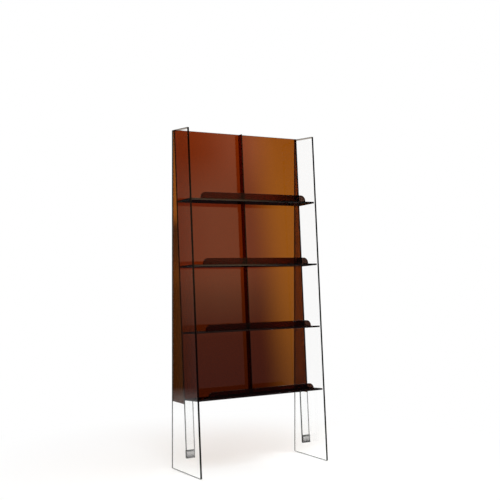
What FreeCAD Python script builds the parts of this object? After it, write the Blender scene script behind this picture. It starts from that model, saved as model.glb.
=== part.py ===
import FreeCAD, Part
import math
import os
import Sketcher

# A tall free-standing rack that shows periodicals face out, made of bonded glass.
# Two clear side panels stand upright at the rear and are raked at the front. Between them an
# amber back sheet runs parallel to the raked front, and amber shelves stand square to it, each
# with a low stop lip at the front and a narrow divider against the back. Amber returns close
# the wedge behind the back sheet at both sides. Two clear legs carry the line of the back on
# below the lowest shelf.
#
# Frame: origin at floor level in the middle of the footprint, X to the right as seen from the
# front, Y to the rear, Z up. Millimetres.

SHELF_COUNT = 4
SIDES = {"left": -1, "right": 1}

DRIVING_SIZES = {
    # Envelope of the two side panels.
    "overall_width": 900,
    "overall_height": 2000,
    "rake_run": 153,            # how far the front edge goes back between floor and top
    "side_thickness": 12,
    # Amber back sheet, parallel to the front edge of the side panels.
    "shelf_reach": 162,         # front plane to the face of the back sheet, square to both
    "back_thickness": 10,
    # Amber returns behind the back sheet.
    "return_top_depth": 14,
    "return_thickness": 6,
    "return_overhang": 22,      # how far the returns reach below the back sheet
    # Shelves, measured along the rake.
    "lowest_shelf": 444,        # top face of the lowest shelf
    "shelf_pitch": 384.5,
    "shelf_thickness": 10,
    "shelf_setback": 6,         # front edge of a shelf behind the front plane
    # Stop lip on the front of each shelf.
    "lip_height": 37,
    "lip_thickness": 8,
    "lip_inset": 66,            # end of the lip to the inner face of the side panel
    "lip_shoulder": 4,          # upright part of the lip's end below its rounded corner
    # Divider fin in the middle of each bay.
    "divider_depth": 36,
    "divider_thickness": 8,
    # Clear legs under the back sheet, and the shoes at their feet.
    "leg_width": 57,
    "shoe_start": 102,          # underside of the shoe, measured along the rake
    "shoe_width": 54,
    "shoe_depth": 18,
    "shoe_height": 46,
    # Floor glides under the side panels.
    "glide_length": 40,
    "glide_width": 8,
    "glide_height": 3,
    "glide_inset": 12,          # end of a glide to the end of the panel's lower edge
    # Glass work.
    "bond_line": 0.1,           # clear adhesive between two bonded faces
    "arris": 0.8,               # chamfer ground on every glass edge
}

doc = FreeCAD.newDocument("periodical_display_rack")
sheet = doc.addObject("Spreadsheet::Sheet", "Sizes")
for row, (alias, value) in enumerate(DRIVING_SIZES.items(), start=1):
    sheet.set(f"A{row}", alias)
    sheet.set(f"B{row}", str(value))
    sheet.setAlias(f"B{row}", alias)
doc.recompute()

# Derived sizes, as expressions on the sheet.
RAKE = "atan(Sizes.rake_run / Sizes.overall_height)"
BACK_REACH = "(Sizes.shelf_reach + Sizes.back_thickness)"
BACK_RUN = f"({BACK_REACH} / cos({RAKE}))"
BASE_DEPTH = f"(Sizes.rake_run + {BACK_RUN} + Sizes.return_top_depth)"
TOE_Y = f"(-{BASE_DEPTH} / 2)"
REAR_Y = f"({BASE_DEPTH} / 2)"
INNER_WIDTH = "(Sizes.overall_width - 2 * Sizes.side_thickness)"
BONDED_WIDTH = f"({INNER_WIDTH} - 2 * Sizes.bond_line)"
BACK_FOOT = "(Sizes.lowest_shelf - Sizes.shelf_thickness)"
BACK_CENTRE = "(Sizes.shelf_reach + Sizes.back_thickness / 2)"


def shelf_top(level):
    """Height of a shelf's top face along the rake, level 1 being the lowest shelf."""
    return f"(Sizes.lowest_shelf + {level - 1} * Sizes.shelf_pitch)"


def rake_height_at_top(depth):
    """Height along the rake at which a point this deep behind the front plane is level
    with the top of the side panels."""
    return f"(Sizes.overall_height / cos({RAKE}) + ({depth}) * tan({RAKE}))"


def raked_front(height):
    """Y of the raked front plane at a height above the floor."""
    return f"({TOE_Y} + ({height}) * Sizes.rake_run / Sizes.overall_height)"


def against_side(side, width):
    """X of the middle of a piece this wide that is bonded to a side panel's inner face."""
    return f"({SIDES[side]} * ({INNER_WIDTH} / 2 - Sizes.bond_line - ({width}) / 2))"


def number(expression):
    """Present value of an expression on the sheet."""
    value = sheet.evalExpression(expression)
    return float(getattr(value, "Value", value))


def new_sketch(body, plane_role):
    """Sketch on one of the body's own origin planes."""
    sketch = body.newObject("Sketcher::SketchObject", body.Name + "_outline")
    plane = next(f for f in body.Origin.OriginFeatures if f.Role == plane_role)
    sketch.AttachmentSupport = [(plane, "")]
    sketch.MapMode = "FlatFace"
    return sketch


def bind(sketch, constraint, name, expression):
    """Add a constraint and tie its value to the sheet."""
    index = sketch.addConstraint(constraint)
    sketch.renameConstraint(index, name)
    sketch.setExpression("Constraints." + name, expression)


def add_loop(sketch, points):
    """Closed loop of straight lines through the points, joined end to end."""
    count = len(points)
    for i in range(count):
        sketch.addGeometry(Part.LineSegment(points[i], points[(i + 1) % count]), False)
    for i in range(count):
        sketch.addConstraint(Sketcher.Constraint("Coincident", i, 2, (i + 1) % count, 1))


def cut_from_sheet(body, sketch, length, midplane):
    """Pad the outline to its thickness or height and grind an arris on every edge."""
    pad = body.newObject("PartDesign::Pad", body.Name + "_pad")
    pad.Profile = sketch
    pad.Midplane = midplane
    pad.setExpression("Length", length)
    arris = body.newObject("PartDesign::Chamfer", body.Name + "_arris")
    arris.Base = (pad, [""])
    arris.UseAllEdges = True
    arris.setExpression("Size", "Sizes.arris")
    body.Tip = arris


def glass_block(label, width, depth, height):
    """Rectangular piece, centred on its own origin in plan, its underside at zero."""
    body = doc.addObject("PartDesign::Body", label)
    sketch = new_sketch(body, "XY_Plane")
    half_w = number(width) / 2
    half_d = number(depth) / 2
    add_loop(sketch, [
        FreeCAD.Vector(-half_w, -half_d, 0),
        FreeCAD.Vector(half_w, -half_d, 0),
        FreeCAD.Vector(half_w, half_d, 0),
        FreeCAD.Vector(-half_w, half_d, 0),
    ])
    for line, direction in enumerate(("Horizontal", "Vertical", "Horizontal", "Vertical")):
        sketch.addConstraint(Sketcher.Constraint(direction, line))
    sketch.addConstraint(Sketcher.Constraint("Symmetric", 0, 1, 1, 2, -1, 1))
    bind(sketch, Sketcher.Constraint("DistanceX", 0, 1, 0, 2, 2 * half_w), "width", width)
    bind(sketch, Sketcher.Constraint("DistanceY", 1, 1, 1, 2, 2 * half_d), "depth", depth)
    cut_from_sheet(body, sketch, height, midplane=False)
    return body


def glass_profile(label, corners, thickness):
    """Upright sheet cut to an outline of (Y, Z) corners, centred on X = 0."""
    body = doc.addObject("PartDesign::Body", label)
    sketch = new_sketch(body, "YZ_Plane")
    points = [FreeCAD.Vector(number(y), number(z), 0) for y, z in corners]
    add_loop(sketch, points)
    for i, (y, z) in enumerate(corners):
        to_y = Sketcher.Constraint("DistanceX", -1, 1, i, 1, points[i].x)
        to_z = Sketcher.Constraint("DistanceY", -1, 1, i, 1, points[i].y)
        bind(sketch, to_y, f"corner_{i + 1}_y", y)
        bind(sketch, to_z, f"corner_{i + 1}_z", z)
    cut_from_sheet(body, sketch, thickness, midplane=True)
    return body


def stand_upright(body, across):
    """Place an upright sheet whose outline already lies at its own Y and Z."""
    body.setExpression("Placement.Base.x", across)


def stand_on_rake(body, across, depth, up):
    """Place a body in the raked frame. Depth is square to the front plane and up runs along
    it, both from the toe line, where the front plane meets the floor."""
    tilt = FreeCAD.Rotation(FreeCAD.Vector(1, 0, 0), -number(RAKE))
    body.Placement = FreeCAD.Placement(FreeCAD.Vector(), tilt)
    body.setExpression("Placement.Rotation.Angle", f"-{RAKE}")
    body.setExpression("Placement.Base.x", across)
    along_y = f"({depth}) * cos({RAKE}) + ({up}) * sin({RAKE})"
    along_z = f"({up}) * cos({RAKE}) - ({depth}) * sin({RAKE})"
    body.setExpression("Placement.Base.y", f"{TOE_Y} + {along_y}")
    body.setExpression("Placement.Base.z", along_z)


def side_panel(side):
    """Clear side panel: level foot and top, upright rear edge, raked front edge."""
    foot = "Sizes.glide_height"
    top = "Sizes.overall_height"
    corners = [
        (raked_front(foot), foot),
        (REAR_Y, foot),
        (REAR_Y, top),
        (raked_front(top), top),
    ]
    panel = glass_profile(f"side_panel_{side}", corners, "Sizes.side_thickness")
    middle = "(Sizes.overall_width - Sizes.side_thickness) / 2"
    stand_upright(panel, f"{SIDES[side]} * {middle}")
    return panel


def back_return(side):
    """Amber return: follows the rear face of the back sheet in front and is upright behind."""
    foot_of_back = f"{BACK_FOOT} * cos({RAKE}) - {BACK_REACH} * sin({RAKE})"
    foot = f"({foot_of_back} - Sizes.return_overhang)"
    top = "Sizes.overall_height"
    behind_back = f"{BACK_RUN} + Sizes.bond_line / cos({RAKE})"
    corners = [
        (f"{raked_front(foot)} + {behind_back}", foot),
        (REAR_Y, foot),
        (REAR_Y, top),
        (f"{raked_front(top)} + {behind_back}", top),
    ]
    piece = glass_profile(f"back_return_{side}", corners, "Sizes.return_thickness")
    stand_upright(piece, against_side(side, "Sizes.return_thickness"))
    return piece


def back_sheet():
    """Amber back sheet, from the underside of the lowest shelf to the top of the rack."""
    height = f"{rake_height_at_top('Sizes.shelf_reach')} - {BACK_FOOT}"
    piece = glass_block("back_sheet", BONDED_WIDTH, "Sizes.back_thickness", height)
    stand_on_rake(piece, "0", BACK_CENTRE, BACK_FOOT)
    return piece


def shelf(level):
    """Amber shelf plate, bonded between the side panels and to the back sheet."""
    depth = "(Sizes.shelf_reach - Sizes.bond_line - Sizes.shelf_setback)"
    piece = glass_block(f"shelf_{level}", BONDED_WIDTH, depth, "Sizes.shelf_thickness")
    middle = f"Sizes.shelf_setback + {depth} / 2"
    stand_on_rake(piece, "0", middle, f"{shelf_top(level)} - Sizes.shelf_thickness")
    return piece


def shelf_lip(level):
    """Amber stop lip with rounded upper corners, bonded on the front of a shelf."""
    length = f"({INNER_WIDTH} - 2 * Sizes.lip_inset)"
    corner = "(Sizes.lip_height - Sizes.lip_shoulder)"
    body = doc.addObject("PartDesign::Body", f"shelf_lip_{level}")
    sketch = new_sketch(body, "XZ_Plane")
    half = number(length) / 2
    height = number("Sizes.lip_height")
    radius = number(corner)
    shoulder = height - radius
    foot_left = FreeCAD.Vector(-half, 0, 0)
    foot_right = FreeCAD.Vector(half, 0, 0)
    right_start = FreeCAD.Vector(half, shoulder, 0)
    right_end = FreeCAD.Vector(half - radius, height, 0)
    left_start = FreeCAD.Vector(-half + radius, height, 0)
    left_end = FreeCAD.Vector(-half, shoulder, 0)
    diagonal = radius * math.sqrt(0.5)
    right_middle = FreeCAD.Vector(half - radius + diagonal, shoulder + diagonal, 0)
    left_middle = FreeCAD.Vector(-right_middle.x, right_middle.y, 0)
    outline = [
        Part.LineSegment(foot_left, foot_right),
        Part.LineSegment(foot_right, right_start),
        Part.Arc(right_start, right_middle, right_end),
        Part.LineSegment(right_end, left_start),
        Part.Arc(left_start, left_middle, left_end),
        Part.LineSegment(left_end, foot_left),
    ]
    for edge in outline:
        sketch.addGeometry(edge, False)
    sketch.addConstraint([
        Sketcher.Constraint("Coincident", 0, 2, 1, 1),
        Sketcher.Constraint("Tangent", 1, 2, 2, 1),
        Sketcher.Constraint("Tangent", 2, 2, 3, 1),
        Sketcher.Constraint("Tangent", 3, 2, 4, 1),
        Sketcher.Constraint("Tangent", 4, 2, 5, 1),
        Sketcher.Constraint("Coincident", 5, 2, 0, 1),
        Sketcher.Constraint("Horizontal", 0),
        Sketcher.Constraint("Vertical", 1),
        Sketcher.Constraint("Horizontal", 3),
        Sketcher.Constraint("Vertical", 5),
        Sketcher.Constraint("Equal", 2, 4),
        Sketcher.Constraint("Symmetric", 0, 1, 0, 2, -1, 1),
    ])
    bind(sketch, Sketcher.Constraint("DistanceX", 0, 1, 0, 2, 2 * half), "length", length)
    rise = Sketcher.Constraint("DistanceY", 0, 1, 3, 1, height)
    bind(sketch, rise, "height", "Sizes.lip_height")
    bind(sketch, Sketcher.Constraint("Radius", 2, radius), "corner", corner)
    cut_from_sheet(body, sketch, "Sizes.lip_thickness", midplane=True)
    middle = "Sizes.shelf_setback + Sizes.lip_thickness / 2"
    stand_on_rake(body, "0", middle, f"{shelf_top(level)} + Sizes.bond_line")
    return body


def divider(level):
    """Amber divider fin from a shelf to the shelf above it, or to the top of the rack."""
    foot = f"({shelf_top(level)} + Sizes.bond_line)"
    depth_in_front = "(Sizes.shelf_reach - Sizes.bond_line - Sizes.divider_depth)"
    if level < SHELF_COUNT:
        top = f"({shelf_top(level + 1)} - Sizes.shelf_thickness - Sizes.bond_line)"
    else:
        top = rake_height_at_top(depth_in_front)
    label = f"divider_{level}"
    piece = glass_block(label, "Sizes.divider_thickness", "Sizes.divider_depth", f"{top} - {foot}")
    stand_on_rake(piece, "0", f"{depth_in_front} + Sizes.divider_depth / 2", foot)
    return piece


def back_leg(side):
    """Clear leg that carries the line of the back sheet down to its shoe."""
    foot = "(Sizes.shoe_start + Sizes.shoe_height + Sizes.bond_line)"
    height = f"{BACK_FOOT} - Sizes.bond_line - {foot}"
    piece = glass_block(f"back_leg_{side}", "Sizes.leg_width", "Sizes.back_thickness", height)
    stand_on_rake(piece, against_side(side, "Sizes.leg_width"), BACK_CENTRE, foot)
    return piece


def leg_shoe(side):
    """Clear block at the foot of a leg, bonded to the side panel."""
    piece = glass_block(f"leg_shoe_{side}", "Sizes.shoe_width", "Sizes.shoe_depth",
                        "Sizes.shoe_height")
    stand_on_rake(piece, against_side(side, "Sizes.shoe_width"), BACK_CENTRE, "Sizes.shoe_start")
    return piece


def floor_glides():
    """Four clear pads, two under the lower edge of each side panel."""
    panel_middle = "(Sizes.overall_width - Sizes.side_thickness) / 2"
    front = f"{raked_front('Sizes.glide_height')} + Sizes.glide_inset"
    rear = f"{REAR_Y} - Sizes.glide_inset - Sizes.glide_length"
    pads = []
    for side, sign in SIDES.items():
        for end, start in (("front", front), ("rear", rear)):
            pad = doc.addObject("Part::Box", f"glide_{side}_{end}")
            pad.setExpression("Length", "Sizes.glide_width")
            pad.setExpression("Width", "Sizes.glide_length")
            pad.setExpression("Height", "Sizes.glide_height")
            across = f"{sign} * {panel_middle} - Sizes.glide_width / 2"
            pad.setExpression("Placement.Base.x", across)
            pad.setExpression("Placement.Base.y", start)
            pads.append(pad)
    group = doc.addObject("Part::Compound", "floor_glides")
    group.Links = pads
    return group


pieces = [back_sheet(), floor_glides()]
for side in SIDES:
    pieces += [side_panel(side), back_return(side), back_leg(side), leg_shoe(side)]
for level in range(1, SHELF_COUNT + 1):
    pieces += [shelf(level), shelf_lip(level), divider(level)]

doc.recompute()

for item in doc.Objects:
    if "Invalid" in item.State or "Error" in item.State:
        raise RuntimeError(f"{item.Name} did not recompute: {item.State}")

for piece in pieces:
    if piece.Shape.isNull() or not piece.Shape.isValid():
        raise RuntimeError(f"{piece.Label} has no valid shape")

os.makedirs("parts", exist_ok=True)
for piece in pieces:
    piece.Shape.exportStep(f"parts/{piece.Label}.step")
    box = piece.Shape.BoundBox
    print(f"{piece.Label:20s} X {box.XMin:8.1f} {box.XMax:8.1f}  Y {box.YMin:8.1f} {box.YMax:8.1f}"
          f"  Z {box.ZMin:8.1f} {box.ZMax:8.1f}  {piece.Shape.Volume / 1000:9.1f} cm3")
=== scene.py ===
import math

import bpy
import numpy as np
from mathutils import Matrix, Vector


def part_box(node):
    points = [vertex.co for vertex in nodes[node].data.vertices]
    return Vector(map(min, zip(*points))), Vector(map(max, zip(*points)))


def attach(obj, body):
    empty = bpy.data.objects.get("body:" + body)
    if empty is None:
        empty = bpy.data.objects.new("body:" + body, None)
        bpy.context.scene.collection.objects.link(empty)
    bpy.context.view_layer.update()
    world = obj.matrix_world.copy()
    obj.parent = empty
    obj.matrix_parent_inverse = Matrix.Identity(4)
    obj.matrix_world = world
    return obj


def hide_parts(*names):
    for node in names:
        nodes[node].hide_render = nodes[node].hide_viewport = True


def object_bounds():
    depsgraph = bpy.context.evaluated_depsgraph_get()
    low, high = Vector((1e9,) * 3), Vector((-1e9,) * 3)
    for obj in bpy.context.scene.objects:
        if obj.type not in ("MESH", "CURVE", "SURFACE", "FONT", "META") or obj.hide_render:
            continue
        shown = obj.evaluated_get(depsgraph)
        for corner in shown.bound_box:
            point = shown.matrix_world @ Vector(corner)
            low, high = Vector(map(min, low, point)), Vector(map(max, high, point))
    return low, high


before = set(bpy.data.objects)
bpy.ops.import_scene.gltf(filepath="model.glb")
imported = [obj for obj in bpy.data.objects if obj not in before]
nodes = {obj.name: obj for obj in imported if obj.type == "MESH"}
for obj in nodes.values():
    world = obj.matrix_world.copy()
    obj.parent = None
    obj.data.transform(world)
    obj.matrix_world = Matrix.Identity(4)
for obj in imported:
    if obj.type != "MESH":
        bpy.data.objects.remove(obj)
cad_low, cad_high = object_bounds()

# ---------------------------------------------------------------------------------------
# Camera: it stands to the left of the rack at chest height and looks level, so that the
# uprights stay parallel.

camera_data = bpy.data.cameras.new("camera")
camera_data.sensor_width = 36.0
camera_data.lens = 68.836
camera = bpy.data.objects.new("camera", camera_data)
camera.location = (-3.1231, -4.8342, 1.2920)
camera.rotation_euler = (math.radians(90), 0, math.radians(-32.785))
bpy.context.scene.collection.objects.link(camera)
bpy.context.scene.camera = camera
bpy.context.scene.view_settings.view_transform = "Standard"

# ---------------------------------------------------------------------------------------
# Studio: a white room, seen straight or through the glass. What the glass reflects is a
# white wall behind on the left, a warm wooden wall in front on the right, two light cards
# and the dark room between them, which keeps the tint of the glass deep.


def add(tree, kind, inputs=None, **settings):
    """Adds a shader node. An input is a plain value, or the output that feeds it."""
    node = tree.nodes.new("ShaderNode" + kind)
    for name, value in settings.items():
        setattr(node, name, value)
    for socket, value in (inputs or {}).items():
        if isinstance(value, bpy.types.NodeSocket):
            tree.links.new(value, node.inputs[socket])
        else:
            node.inputs[socket].default_value = value
    return node


def reckon(tree, operation, *values, **settings):
    """Works one number out of others."""
    return add(tree, "Math", dict(enumerate(values)), operation=operation,
               **settings).outputs[0]


def step(tree, value, low, high, **settings):
    """Goes from 0 where the value is low to 1 where it is high."""
    return add(tree, "MapRange", {"Value": value, "From Min": low, "From Max": high},
               **settings).outputs["Result"]


def ramp(tree, factor, stops):
    """Colour ramp through grey levels or colours at the given positions."""
    node = add(tree, "ValToRGB", {"Fac": factor})
    elements = node.color_ramp.elements
    while len(elements) < len(stops):
        elements.new(0.5)
    while len(elements) > len(stops):
        elements.remove(elements[-1])
    for element, (position, level) in zip(elements, stops):
        element.position = position
        element.color = (*level, 1) if isinstance(level, tuple) else (level, level, level, 1)
    return node.outputs["Color"]


def blend(tree, share, first, second):
    """Mix of two colours, all of the second where the share is 1."""
    first, second = ((*colour, 1) if isinstance(colour, tuple) else colour
                     for colour in (first, second))
    return add(tree, "Mix", {"Factor": share, "A": first, "B": second},
               data_type="RGBA").outputs["Result"]


def either(tree, share, first, second):
    """Mix of two shaders, all of the second where the share is 1."""
    return add(tree, "MixShader", {0: share, 1: first, 2: second}).outputs[0]


# Brightness of what is reflected, by the bearing in degrees from the back of the rack
# towards its right side. A ramp holds one value for about every 1.4 degrees.
BEHIND = ((-180, 0.02), (-116, 0.02), (-106, 0.98), (-34.6, 0.98), (-33.2, 0.02))
ASIDE = ((42, 0.0), (48, 0.9), (78, 0.9), (86, 0.03), (104, 0.03), (114, 0.5), (136, 0.5),
         (142, 0.10))
WOOD_LOW = ((-31.8, 0.13), (-30.3, 0.13), (-28.9, 0.0), *ASIDE, (146, (0.22, 0.12, 0.12)),
            (150.4, (0.26, 0.16, 0.16)), (151.8, 0.01))
WOOD_MIDDLE = (*ASIDE, (144.7, 0.10), (147, (1.2, 0.74, 0.42)), (149, (1.2, 0.76, 0.45)),
               (150.4, (0.97, 0.62, 0.38)), (151.8, (0.55, 0.35, 0.26)), (153.2, 0.02))
WOOD_HIGH = (*ASIDE, (144.7, 0.10), (146.1, (1.5, 0.85, 0.50)), (147.5, (1.35, 0.77, 0.45)),
             (148.9, (0.70, 0.35, 0.18)), (150.4, (0.40, 0.14, 0.06)), (153.2, 0.02))
CEILING = (0.8, 0.8, 0.8)
PALE_FLOOR = (0.97, 0.97, 0.97)

# Rise of a ray, from -1 straight down to 1 straight up, where one part of the room starts
# to give way to the next, and where it has done so.
LOW_TO_MIDDLE = (0.04, 0.10)
MIDDLE_TO_HIGH = (0.19, 0.23)
WALL_TO_CEILING = (0.35, 0.8)
WALL_TO_FLOOR = (-0.142, -0.166)

WHITE = (1.0, 1.0, 1.0, 1.0)
ROOM_LIGHT, ROOM_STRENGTH = (1.0, 0.99, 0.975, 1.0), 0.75

world = bpy.data.worlds.new("studio")
bpy.context.scene.world = world
world.use_nodes = True
tree = world.node_tree
tree.nodes.clear()
towards = add(tree, "TexCoord").outputs["Generated"]
sideways, backward, rise = add(tree, "SeparateXYZ", {0: towards}).outputs
turn = step(tree, reckon(tree, "ARCTAN2", sideways, backward), -math.pi, math.pi)
low_wall, middle_wall, high_wall = (
    ramp(tree, turn, [((angle + 180) / 360, level) for angle, level in (*BEHIND, *wood)])
    for wood in (WOOD_LOW, WOOD_MIDDLE, WOOD_HIGH))
wall = blend(tree, step(tree, rise, *LOW_TO_MIDDLE), low_wall, middle_wall)
wall = blend(tree, step(tree, rise, *MIDDLE_TO_HIGH), wall, high_wall)
overhead = step(tree, rise, *WALL_TO_CEILING, interpolation_type="SMOOTHSTEP")
wall = blend(tree, overhead, wall, CEILING)
left_floor = reckon(tree, "MULTIPLY", step(tree, rise, *WALL_TO_FLOOR),
                    reckon(tree, "LESS_THAN", sideways, 0.0))
wall = blend(tree, left_floor, wall, PALE_FLOOR)

# A ray that was mirrored on its way meets this room. One that came straight, or through
# glass alone, meets plain white, and any other is the even light on matt surfaces.
rays = add(tree, "LightPath").outputs
mirrored = reckon(tree, "GREATER_THAN", rays["Glossy Depth"], 0.5)
seen = reckon(tree, "MAXIMUM", rays["Is Camera Ray"], rays["Is Transmission Ray"])
straight = reckon(tree, "MULTIPLY", seen, reckon(tree, "SUBTRACT", 1.0, mirrored))
even, reflected, backdrop = (
    add(tree, "Background", {"Color": colour, "Strength": strength}).outputs[0]
    for colour, strength in ((ROOM_LIGHT, ROOM_STRENGTH), (wall, 1.0), (WHITE, 1.0)))
unseen = either(tree, mirrored, even, reflected)
add(tree, "OutputWorld", {"Surface": either(tree, straight, unseen, backdrop)})

# Floor: a matt white disc that keeps the shadow of the rack and turns into the white of
# the backdrop further out. Its glow throws no light back on the rack.

FLOOR_REACH, FLOOR_CORNERS = 2.3, 96
FADE_START, FADE_END = 0.7, 1.9
FLOOR_PAINT = (0.94, 0.94, 0.94, 1.0)

angle = np.linspace(0, 2 * np.pi, FLOOR_CORNERS, endpoint=False)
rim = np.stack([FLOOR_REACH * np.cos(angle), FLOOR_REACH * np.sin(angle), 0 * angle], axis=1)
floor_mesh = bpy.data.meshes.new("floor")
floor_mesh.from_pydata(rim.tolist(), [], [list(range(len(rim)))])
floor = bpy.data.objects.new("floor", floor_mesh)
bpy.context.scene.collection.objects.link(floor)
paint = bpy.data.materials.new("floor_paint")
paint.use_nodes = True
tree = paint.node_tree
tree.nodes.clear()
out_from_rack = add(tree, "VectorMath", {0: add(tree, "TexCoord").outputs["Object"]},
                    operation="LENGTH").outputs["Value"]
fade = step(tree, out_from_rack, FADE_START, FADE_END, interpolation_type="SMOOTHSTEP")
lights_nothing = reckon(tree, "SUBTRACT", 1.0, add(tree, "LightPath").outputs["Is Diffuse Ray"])
matt = add(tree, "BsdfDiffuse", {"Color": FLOOR_PAINT}).outputs[0]
glow = add(tree, "Emission", {"Color": WHITE, "Strength": 1.0}).outputs[0]
share = reckon(tree, "MULTIPLY", fade, lights_nothing)
add(tree, "OutputMaterial", {"Surface": either(tree, share, matt, glow)})
floor_mesh.materials.append(paint)


def soft_box(name, place, aim, size, power):
    """Square area lamp at a place, pointed at another."""
    data = bpy.data.lights.new(name, "AREA")
    data.size = size
    data.energy = power
    lamp = bpy.data.objects.new(name, data)
    lamp.location = place
    back = np.array(place) - np.array(aim)
    lamp.rotation_euler = (math.atan2(math.hypot(back[0], back[1]), back[2]), 0,
                           math.atan2(back[1], back[0]) + math.pi / 2)
    lamp.visible_camera = False
    bpy.context.scene.collection.objects.link(lamp)


# Two soft boxes overhead: the stronger in front on the left, the weaker on the right.
soft_box("key", place=(-1.8, -2.8, 4.4), aim=(0, 0, 0.8), size=2.6, power=110)
soft_box("fill", place=(3.2, -0.6, 3.4), aim=(0, 0, 0.8), size=2.2, power=50)

# ---------------------------------------------------------------------------------------
# Side panels: 12 mm clear float glass, cut to the rake at the front, with every arris
# ground. They stand on the floor glides and carry all the rest. A grey brown band along
# the top is a painted reflection of the top rim.

RACK_HEIGHT = cad_high[2]
ACROSS = (1.0, 0.0, 0.0)

# Where a face stands on its sheet, by the cosine of its turn from the flat direction of
# the sheet: 1 on a wide face, 0 on a narrow face and about 0.7 on the arris.
NARROW_BELOW = (0.6, 0.4)
WIDE_ABOVE = 0.9
edges = bpy.data.node_groups.new("plate_edges", "ShaderNodeTree")
edges.interface.new_socket("Flat Direction", in_out="INPUT", socket_type="NodeSocketVector")
edges.interface.new_socket("Narrow Face", in_out="OUTPUT", socket_type="NodeSocketFloat")
edges.interface.new_socket("Arris", in_out="OUTPUT", socket_type="NodeSocketFloat")
given = edges.nodes.new("NodeGroupInput")
facing = add(edges, "VectorMath", {0: add(edges, "TexCoord").outputs["Normal"],
                                   1: given.outputs["Flat Direction"]}, operation="DOT_PRODUCT")
facing = reckon(edges, "ABSOLUTE", facing.outputs["Value"])
narrow = step(edges, facing, *NARROW_BELOW)
not_wide = reckon(edges, "LESS_THAN", facing, WIDE_ABOVE)
arris = reckon(edges, "SUBTRACT", not_wide, narrow, use_clamp=True)
taken = edges.nodes.new("NodeGroupOutput")
edges.links.new(narrow, taken.inputs["Narrow Face"])
edges.links.new(arris, taken.inputs["Arris"])

# The film that hands leave in patches, and the faint wave that float glass is drawn with.
surface = bpy.data.node_groups.new("float_surface", "ShaderNodeTree")
surface.interface.new_socket("Smudges", in_out="INPUT", socket_type="NodeSocketFloat")
surface.interface.new_socket("Roughness", in_out="OUTPUT", socket_type="NodeSocketFloat")
surface.interface.new_socket("Height", in_out="OUTPUT", socket_type="NodeSocketFloat")
given = surface.nodes.new("NodeGroupInput")
place = add(surface, "TexCoord").outputs["Object"]
hands = add(surface, "TexNoise", {"Vector": place, "Scale": 9.0, "Detail": 4.0,
                                  "Roughness": 0.62})
film = add(surface, "MapRange", {"Value": hands.outputs["Fac"], "From Min": 0.5,
                                 "From Max": 0.78, "To Min": 0.0,
                                 "To Max": given.outputs["Smudges"]})
wave = add(surface, "TexNoise", {"Vector": place, "Scale": 1.7, "Detail": 1.0})
taken = surface.nodes.new("NodeGroupOutput")
surface.links.new(film.outputs["Result"], taken.inputs["Roughness"])
surface.links.new(wave.outputs["Fac"], taken.inputs["Height"])

SMUDGES = 0.05
WAVE = {"Strength": 0.04, "Distance": 0.002}
ETCHED_ROUGHNESS, ETCHED_ABOVE = 0.28, (0.5, 0.6)


def glass(name, flat, face, ior, narrow, arris, shade, satin=None):
    """Polished plate glass. Its wide faces carry the face colour, the tint of one crossing
    with any painted shade and reflections laid into it, its narrow faces look into the depth
    of the sheet and are darker, and the arris is between the two. Its shadow has the shade.
    The side that faces the satin direction, if one is given, is etched."""
    material = bpy.data.materials.new(name)
    material.use_nodes = True
    tree = material.node_tree
    shader = tree.nodes["Principled BSDF"]
    shader.inputs["Transmission Weight"].default_value = 1.0
    shader.inputs["IOR"].default_value = ior
    masks = add(tree, "Group", node_tree=edges)
    masks.inputs["Flat Direction"].default_value = flat
    skin = add(tree, "Group", node_tree=surface)
    skin.inputs["Smudges"].default_value = SMUDGES
    roughness = skin.outputs["Roughness"]
    if satin:
        normal = add(tree, "TexCoord").outputs["Normal"]
        towards = add(tree, "VectorMath", {0: normal, 1: satin}, operation="DOT_PRODUCT")
        etched = step(tree, towards.outputs["Value"], *ETCHED_ABOVE)
        roughness = reckon(tree, "MULTIPLY_ADD", etched, ETCHED_ROUGHNESS, roughness)
    colour = blend(tree, masks.outputs["Narrow Face"], face(tree), narrow)
    colour = blend(tree, masks.outputs["Arris"], colour, arris)
    bump = add(tree, "Bump", {"Height": skin.outputs["Height"], **WAVE})
    tree.links.new(colour, shader.inputs["Base Color"])
    tree.links.new(roughness, shader.inputs["Roughness"])
    tree.links.new(bump.outputs["Normal"], shader.inputs["Normal"])
    lit = add(tree, "BsdfTransparent", {"Color": (*shade, 1)}).outputs[0]
    both = either(tree, add(tree, "LightPath").outputs["Is Shadow Ray"], shader.outputs[0], lit)
    tree.links.new(both, tree.nodes["Material Output"].inputs["Surface"])
    return material


def dress(names, material):
    """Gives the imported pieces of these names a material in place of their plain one."""
    for name in names:
        for slot in nodes[name].material_slots:
            slot.material = material


def banded(axis, low, high, stops):
    """Colour of the wide faces by the share of the way from low to high in metres, along X on
    both sides of the middle or along Z. It carries painted reflections of the rims."""
    def colour(tree):
        place = add(tree, "SeparateXYZ", {0: add(tree, "TexCoord").outputs["Object"]})
        along = reckon(tree, "ABSOLUTE", place.outputs[axis])
        return ramp(tree, step(tree, along, low, high), stops)
    return colour


# The index of refraction sets how strongly a face mirrors, which clear glass does faintly.
FAINT_IOR = 1.25
CLEAR = (0.992, 0.997, 0.994)
CLEAR_EDGES = {"narrow": (0.001, 0.0015, 0.0015), "arris": (0.003, 0.004, 0.004),
               "shade": (0.97, 0.975, 0.97)}
# Over the last ten rims of height the panel stays clear until the last rim, where a grey brown
# band is a painted reflection of the top rim.
TOP_RIM = 0.009
TOP_BANDS = ((0, CLEAR), (0.88, CLEAR), (0.9, (0.40, 0.36, 0.32)), (1, (0.30, 0.26, 0.22)))
panel_clear_and_top_reflection = banded("Z", RACK_HEIGHT - 10 * TOP_RIM, RACK_HEIGHT, TOP_BANDS)
clear_panel = glass("clear_panel", ACROSS, panel_clear_and_top_reflection, FAINT_IOR, **CLEAR_EDGES)
dress(["side_panel_left", "side_panel_right"], clear_panel)
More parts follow.
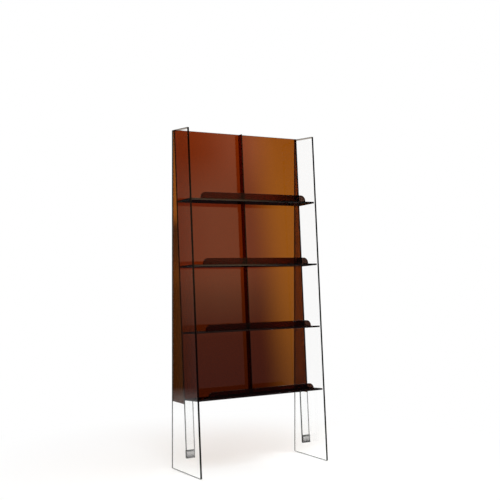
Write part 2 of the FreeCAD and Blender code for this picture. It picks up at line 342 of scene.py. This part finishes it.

# ---------------------------------------------------------------------------------------
# Back sheet: 10 mm amber glass, parallel to the raked front edges and bonded between the
# side panels. A warm amber, deepened by painted shade to red brown at the left and below.

RAKE_RUN = 0.153
RAKE = math.atan2(RAKE_RUN, RACK_HEIGHT)
FORWARD = (0.0, -math.cos(RAKE), math.sin(RAKE))

# The tint, and the painted shade and light in it, go over from the left row to the right one
# along a slanting, wavering line.
LEFT_TO_RIGHT = (0.14, 0.44)
SLANT = (1.0, 0.0, 0.08)
WAVER = 0.04
drift = bpy.data.node_groups.new("painted_shade_drift", "ShaderNodeTree")
drift.interface.new_socket("Right", in_out="OUTPUT", socket_type="NodeSocketFloat")
drift.interface.new_socket("Height", in_out="OUTPUT", socket_type="NodeSocketFloat")
place = add(drift, "TexCoord").outputs["Object"]
cloud = add(drift, "TexNoise", {"Vector": place, "Scale": 1.3, "Detail": 2.0})
sway = add(drift, "MapRange", {"Value": cloud.outputs["Fac"], "To Min": -WAVER,
                               "To Max": WAVER})
across = add(drift, "VectorMath", {0: place, 1: SLANT}, operation="DOT_PRODUCT")
across = reckon(drift, "ADD", across.outputs["Value"], sway.outputs["Result"])
right = step(drift, across, *LEFT_TO_RIGHT, interpolation_type="SMOOTHSTEP")
height = add(drift, "SeparateXYZ", {0: place}).outputs["Z"]
taken = drift.nodes.new("NodeGroupOutput")
drift.links.new(right, taken.inputs["Right"])
drift.links.new(step(drift, height, 0.0, RACK_HEIGHT), taken.inputs["Height"])


def amber(left, right):
    """Amber of the wide faces at the left and at the right of the rack, each a row of ambers
    by their height above the floor in metres. How the rows change with height and from side to
    side is painted shade and light."""
    def colour(tree):
        shift = add(tree, "Group", node_tree=drift).outputs
        left_shaded_amber, right_shaded_amber = (
            ramp(tree, shift["Height"], [(level / RACK_HEIGHT, tint) for level, tint in side])
            for side in (left, right))
        return blend(tree, shift["Right"], left_shaded_amber, right_shaded_amber)
    return colour


FULL_IOR = 1.5
AMBER_EDGES = {"narrow": (0.010, 0.0025, 0.0008), "arris": (0.03, 0.008, 0.003),
               "shade": (0.76, 0.68, 0.61)}
# Both rows darken lower down, and the left one is far darker: painted shade.
BACK_LEFT = ((0.44, (0.040, 0.005, 0.001)), (0.75, (0.050, 0.007, 0.001)),
             (1.0, (0.070, 0.009, 0.001)), (1.2, (0.115, 0.012, 0.001)),
             (1.6, (0.125, 0.013, 0.001)), (2.0, (0.18, 0.019, 0.001)))
BACK_RIGHT = ((0.44, (0.16, 0.048, 0.006)), (0.8, (0.23, 0.070, 0.006)),
              (1.2, (0.30, 0.088, 0.007)), (1.6, (0.31, 0.088, 0.006)),
              (2.0, (0.29, 0.072, 0.003)))
amber_back = glass("amber_back", FORWARD, amber(BACK_LEFT, BACK_RIGHT), FULL_IOR, **AMBER_EDGES)
dress(["back_sheet"], amber_back)

# ---------------------------------------------------------------------------------------
# Back returns: 6 mm amber strips with a satin inner face, behind the back sheet, each bonded
# to a side panel. They close the wedge between the raked back and the upright rear edge.

# The left return's bands of lighter and darker amber up its height, and its difference from the
# right one, are painted light and shade.
RETURN_LEFT = ((0.50, (0.047, 0.0125, 0.0015)), (1.05, (0.075, 0.019, 0.002)),
               (1.15, (0.125, 0.033, 0.004)), (1.25, (0.09, 0.022, 0.004)),
               (1.42, (0.070, 0.019, 0.004)), (1.50, (0.28, 0.078, 0.010)),
               (1.75, (0.29, 0.080, 0.008)), (2.0, (0.20, 0.050, 0.003)))
RETURN_RIGHT = ((0.50, (0.33, 0.175, 0.045)), (2.0, (0.38, 0.20, 0.05)))
amber_return = amber(RETURN_LEFT, RETURN_RIGHT)
for side, inward in (("left", (1.0, 0.0, 0.0)), ("right", (-1.0, 0.0, 0.0))):
    dress([f"back_return_{side}"],
          glass(f"amber_return_{side}", ACROSS, amber_return, FAINT_IOR, satin=inward,
                **AMBER_EDGES))

# ---------------------------------------------------------------------------------------
# Shelves: 10 mm amber glass plates square to the back, bonded to it along their rear edge
# and to a side panel at either end.

UPWARD = (0.0, math.sin(RAKE), math.cos(RAKE))
LEVELS = range(1, 5)

# Darker at the left than at the right: painted shade.
SHELF_LEFT = ((0.4, (0.015, 0.002, 0.001)), (1.6, (0.03, 0.003, 0.001)))
SHELF_RIGHT = ((0.4, (0.06, 0.008, 0.002)), (2.0, (0.06, 0.008, 0.002)))
amber_shelf = glass("amber_shelf", UPWARD, amber(SHELF_LEFT, SHELF_RIGHT), FULL_IOR,
                    **AMBER_EDGES)
dress([f"shelf_{level}" for level in LEVELS], amber_shelf)

# ---------------------------------------------------------------------------------------
# Stop lips: 8 mm amber strips bonded on edge near the front of each shelf, with their two
# upper corners ground round, so that magazines do not slide off.

LIP_IOR = 1.2
# Lighter at the left and darker at the right: painted light and shade.
LIP_LEFT = ((0.4, (0.12, 0.025, 0.010)), (1.6, (0.18, 0.038, 0.014)))
LIP_RIGHT = ((0.4, (0.035, 0.014, 0.010)), (2.0, (0.06, 0.030, 0.021)))
amber_lip = glass("amber_lip", FORWARD, amber(LIP_LEFT, LIP_RIGHT), LIP_IOR, **AMBER_EDGES)
dress([f"shelf_lip_{level}" for level in LEVELS], amber_lip)

# ---------------------------------------------------------------------------------------
# Dividers: narrow 8 mm amber fins that stand upright on the shelf in the middle of each
# bay, bonded to it and to the back sheet.

# Darker low down at the left: painted shade.
DIVIDER_LEFT = ((0.4, (0.12, 0.014, 0.003)), (1.9, (0.20, 0.030, 0.005)))
DIVIDER_RIGHT = ((0.4, (0.20, 0.030, 0.005)), (2.0, (0.20, 0.030, 0.005)))
amber_divider = glass("amber_divider", ACROSS, amber(DIVIDER_LEFT, DIVIDER_RIGHT), FAINT_IOR,
                      **AMBER_EDGES)
dress([f"divider_{level}" for level in LEVELS], amber_divider)

# ---------------------------------------------------------------------------------------
# Rear legs and shoes: clear strips in the plane of the back, below the lowest shelf, each
# with a small clear block at its lower end. Painted reflections of their dark ground rims
# darken both sides of the strips, and grey the blocks, most of all at top and foot.

STRIP_BANDS = ((0, 0.22), (0.05, 0.30), (0.07, CLEAR), (0.93, CLEAR), (0.95, 0.30), (1, 0.22))
BLOCK_BANDS = ((0, 0.06), (0.14, 0.08), (0.26, 0.26), (0.5, 0.40), (0.76, 0.48), (0.86, 0.12),
               (1, 0.06))
strip_low, strip_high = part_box("back_leg_right")
block_low, block_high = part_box("leg_shoe_right")
strip_rim_reflections = banded("X", strip_low[0], strip_high[0], STRIP_BANDS)
block_rim_reflections = banded("Z", block_low[2], block_high[2], BLOCK_BANDS)
clear_strip = glass("clear_strip", FORWARD, strip_rim_reflections, FAINT_IOR, **CLEAR_EDGES)
clear_block = glass("clear_block", FORWARD, block_rim_reflections, FULL_IOR, **CLEAR_EDGES)
dress(["back_leg_left", "back_leg_right"], clear_strip)
dress(["leg_shoe_left", "leg_shoe_right"], clear_block)

# ---------------------------------------------------------------------------------------
# Floor glides: four thin pads of soft translucent plastic, stuck under the lower edges of
# the side panels so that the glass does not touch the floor.

PAD_LENGTH, PAD_WIDTH, PAD_HEIGHT = 0.040, 0.008, 0.003
PAD_ROUND, ROUND_STEPS = 0.001, 6
WIDTH_POWER, LENGTH_POWER = 0.5, 0.35
AROUND = 48


def pad_rings():
    """Rings of an oblong pad, from its foot to its top. The outline is the width and length
    taken round by the angle, each sine and cosine raised to a small power that squares the
    oval off. It is drawn in at the foot by a quarter round."""
    turn = np.linspace(0, 2 * np.pi, AROUND, endpoint=False)
    square = np.stack([np.sign(np.cos(turn)) * np.abs(np.cos(turn)) ** WIDTH_POWER,
                       np.sign(np.sin(turn)) * np.abs(np.sin(turn)) ** LENGTH_POWER], axis=1)
    lift = np.linspace(0, np.pi / 2, ROUND_STEPS)
    inset = np.append(PAD_ROUND * (1 - np.sin(lift)), 0.0)
    height = np.append(PAD_ROUND * (1 - np.cos(lift)), PAD_HEIGHT)
    half = np.array([PAD_WIDTH / 2, PAD_LENGTH / 2])[None, :] - inset[:, None]
    outline = square[None, :, :] * half[:, None, :]
    upward = np.broadcast_to(height[:, None, None], outline.shape[:2] + (1,))
    return np.concatenate([outline, upward], axis=2)


pad_low, pad_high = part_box("floor_glides")
rings = pad_rings()
middles = np.array([(x, y, 0.0)
                    for x in (pad_low[0] + PAD_WIDTH / 2, pad_high[0] - PAD_WIDTH / 2)
                    for y in (pad_low[1] + PAD_LENGTH / 2, pad_high[1] - PAD_LENGTH / 2)])
points = (middles[:, None, None, :] + rings[None]).reshape(-1, 3)
ring, spot = np.meshgrid(np.arange(len(rings) - 1), np.arange(AROUND), indexing="ij")
beside = (spot + 1) % AROUND
wall_faces = np.stack([ring * AROUND + spot, ring * AROUND + beside,
                       (ring + 1) * AROUND + beside, (ring + 1) * AROUND + spot],
                      axis=-1).reshape(-1, 4)
foot_face = np.arange(AROUND)[::-1]
top_face = np.arange(AROUND) + (len(rings) - 1) * AROUND
faces = [(face + pad * len(rings) * AROUND).tolist()
         for pad in range(len(middles)) for face in (*wall_faces, foot_face, top_face)]
pad_mesh = bpy.data.meshes.new("glide_pads")
pad_mesh.from_pydata(points.tolist(), [], faces)
pads = bpy.data.objects.new("glide_pads", pad_mesh)
bpy.context.scene.collection.objects.link(pads)

# Cloudy off-white plastic with a fine moulded grain, duller where the grain is high.
MILKY, PALE = (0.70, 0.72, 0.69), (0.82, 0.83, 0.81)
plastic = bpy.data.materials.new("glide_plastic")
plastic.use_nodes = True
tree = plastic.node_tree
shader = tree.nodes["Principled BSDF"]
place = add(tree, "TexCoord").outputs["Object"]
clouding = add(tree, "TexNoise", {"Vector": place, "Scale": 160.0, "Detail": 3.0})
grain = add(tree, "TexNoise", {"Vector": place, "Scale": 2600.0, "Detail": 2.0}).outputs["Fac"]
colour = ramp(tree, clouding.outputs["Fac"], [(0.35, MILKY), (0.65, PALE)])
dullness = add(tree, "MapRange", {"Value": grain, "To Min": 0.32, "To Max": 0.5})
bump = add(tree, "Bump", {"Height": grain, "Strength": 0.15, "Distance": 0.0002})
tree.links.new(colour, shader.inputs["Base Color"])
tree.links.new(dullness.outputs["Result"], shader.inputs["Roughness"])
tree.links.new(bump.outputs["Normal"], shader.inputs["Normal"])
pad_mesh.materials.append(plastic)
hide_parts("floor_glides")
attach(pads, "root")
